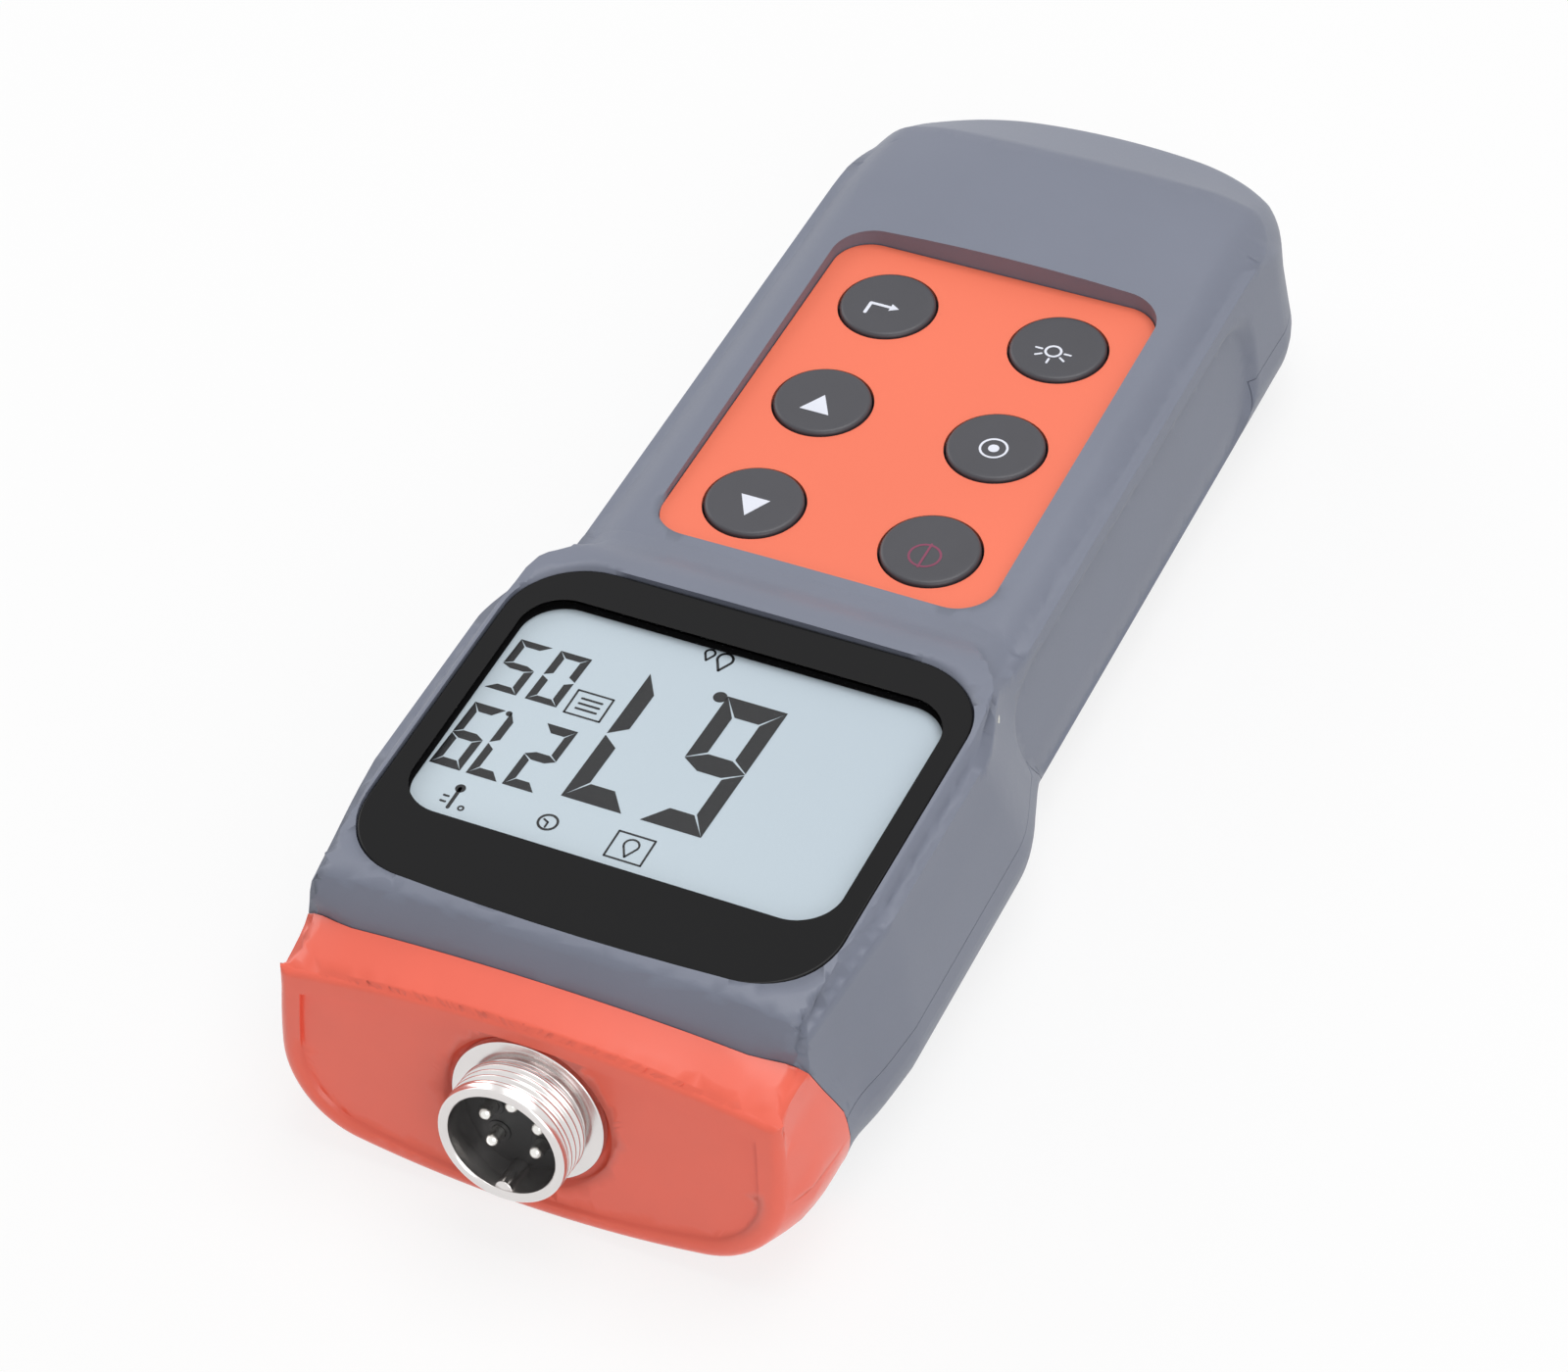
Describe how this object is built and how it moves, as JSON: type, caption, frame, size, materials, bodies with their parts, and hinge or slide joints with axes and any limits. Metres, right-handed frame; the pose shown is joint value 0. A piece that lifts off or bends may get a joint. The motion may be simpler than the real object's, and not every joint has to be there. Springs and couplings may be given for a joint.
{
  "type": "dissolved oxygen meter",
  "caption": "Handheld dissolved oxygen meter: keypad handle, wider display head, tilted nose cap with a round pin socket for the probe, and a sliding battery door in the flat back.",
  "frame": {"origin": "on the flat back, on the plane of symmetry, below the neck between handle and head", "axes": "+Z out of the display side, +Y along the body towards the probe socket, +X to the reader's right when the display is read"},
  "size_m": [0.0704, 0.1844, 0.0343],
  "materials": {
    "shell_plastic": "satin, fine spark texture",
    "cap_plastic": "glossy",
    "overlay_film": "satin film",
    "key_plastic": "satin",
    "lens_acrylic": "polished, smoke grey border",
    "lcd_glass": "polished, pale reflective field",
    "light_panel": "milky",
    "strip_rubber": "matt",
    "holder_plastic": "matt",
    "mat_rubber": "matt",
    "board_laminate": "lacquered laminate",
    "chip_plastic": "matt",
    "header_plastic": "matt",
    "screw_steel": "zinc plated",
    "socket_nickel": "nickel plated",
    "pin_metal": "silver plated",
    "lead_sleeve": "satin",
    "cell_jacket": "printed sleeve, bare of marks",
    "contact_metal": "nickel plated"
  },
  "bodies": {
    "body": {"front_shell": "shell_plastic", "rear_shell": "shell_plastic", "nose_cap": "cap_plastic", "keypad_overlay": "overlay_film", "display_lens": "lens_acrylic", "lcd_glass": "lcd_glass", "backlight_panel": "light_panel", "zebra_strips": "strip_rubber", "lcd_holder": "holder_plastic", "rubber_key_mat": "mat_rubber", "main_board": "board_laminate", "board_chips": "chip_plastic", "buzzer": "chip_plastic", "lead_header": "header_plastic", "socket_insulator": "header_plastic", "board_screws": "screw_steel", "case_screws": "screw_steel", "socket_shell": "socket_nickel", "socket_nut": "socket_nickel", "socket_washer": "socket_nickel", "socket_pins": "pin_metal", "socket_leads": "lead_sleeve", "battery_leads": "lead_sleeve", "battery_cells": "cell_jacket", "battery_plates": "contact_metal", "battery_springs": "contact_metal"},
    "battery_door": {"battery_door": "shell_plastic"},
    "power_key": {"power_key": "key_plastic"},
    "calibrate_key": {"calibrate_key": "key_plastic"},
    "light_key": {"light_key": "key_plastic"},
    "up_key": {"up_key": "key_plastic"},
    "down_key": {"down_key": "key_plastic"},
    "enter_key": {"enter_key": "key_plastic"}
  },
  "joints": [
    {"name": "battery_door_slide", "type": "slide", "parent": "body", "child": "battery_door", "axis": [0, -1, 0], "range_m": [0, 0.055]},
    {"name": "power_key_press", "type": "slide", "parent": "body", "child": "power_key", "axis": [0, 0, 1], "range_m": [-0.0008, 0], "stiffness_N_per_m": 1500, "springref_m": 0.0003},
    {"name": "calibrate_key_press", "type": "slide", "parent": "body", "child": "calibrate_key", "axis": [0, 0, 1], "range_m": [-0.0008, 0], "stiffness_N_per_m": 1500, "springref_m": 0.0003},
    {"name": "light_key_press", "type": "slide", "parent": "body", "child": "light_key", "axis": [0, 0, 1], "range_m": [-0.0008, 0], "stiffness_N_per_m": 1500, "springref_m": 0.0003},
    {"name": "up_key_press", "type": "slide", "parent": "body", "child": "up_key", "axis": [0, 0, 1], "range_m": [-0.0008, 0], "stiffness_N_per_m": 1500, "springref_m": 0.0003},
    {"name": "down_key_press", "type": "slide", "parent": "body", "child": "down_key", "axis": [0, 0, 1], "range_m": [-0.0008, 0], "stiffness_N_per_m": 1500, "springref_m": 0.0003},
    {"name": "enter_key_press", "type": "slide", "parent": "body", "child": "enter_key", "axis": [0, 0, 1], "range_m": [-0.0008, 0], "stiffness_N_per_m": 1500, "springref_m": 0.0003}
  ]
}
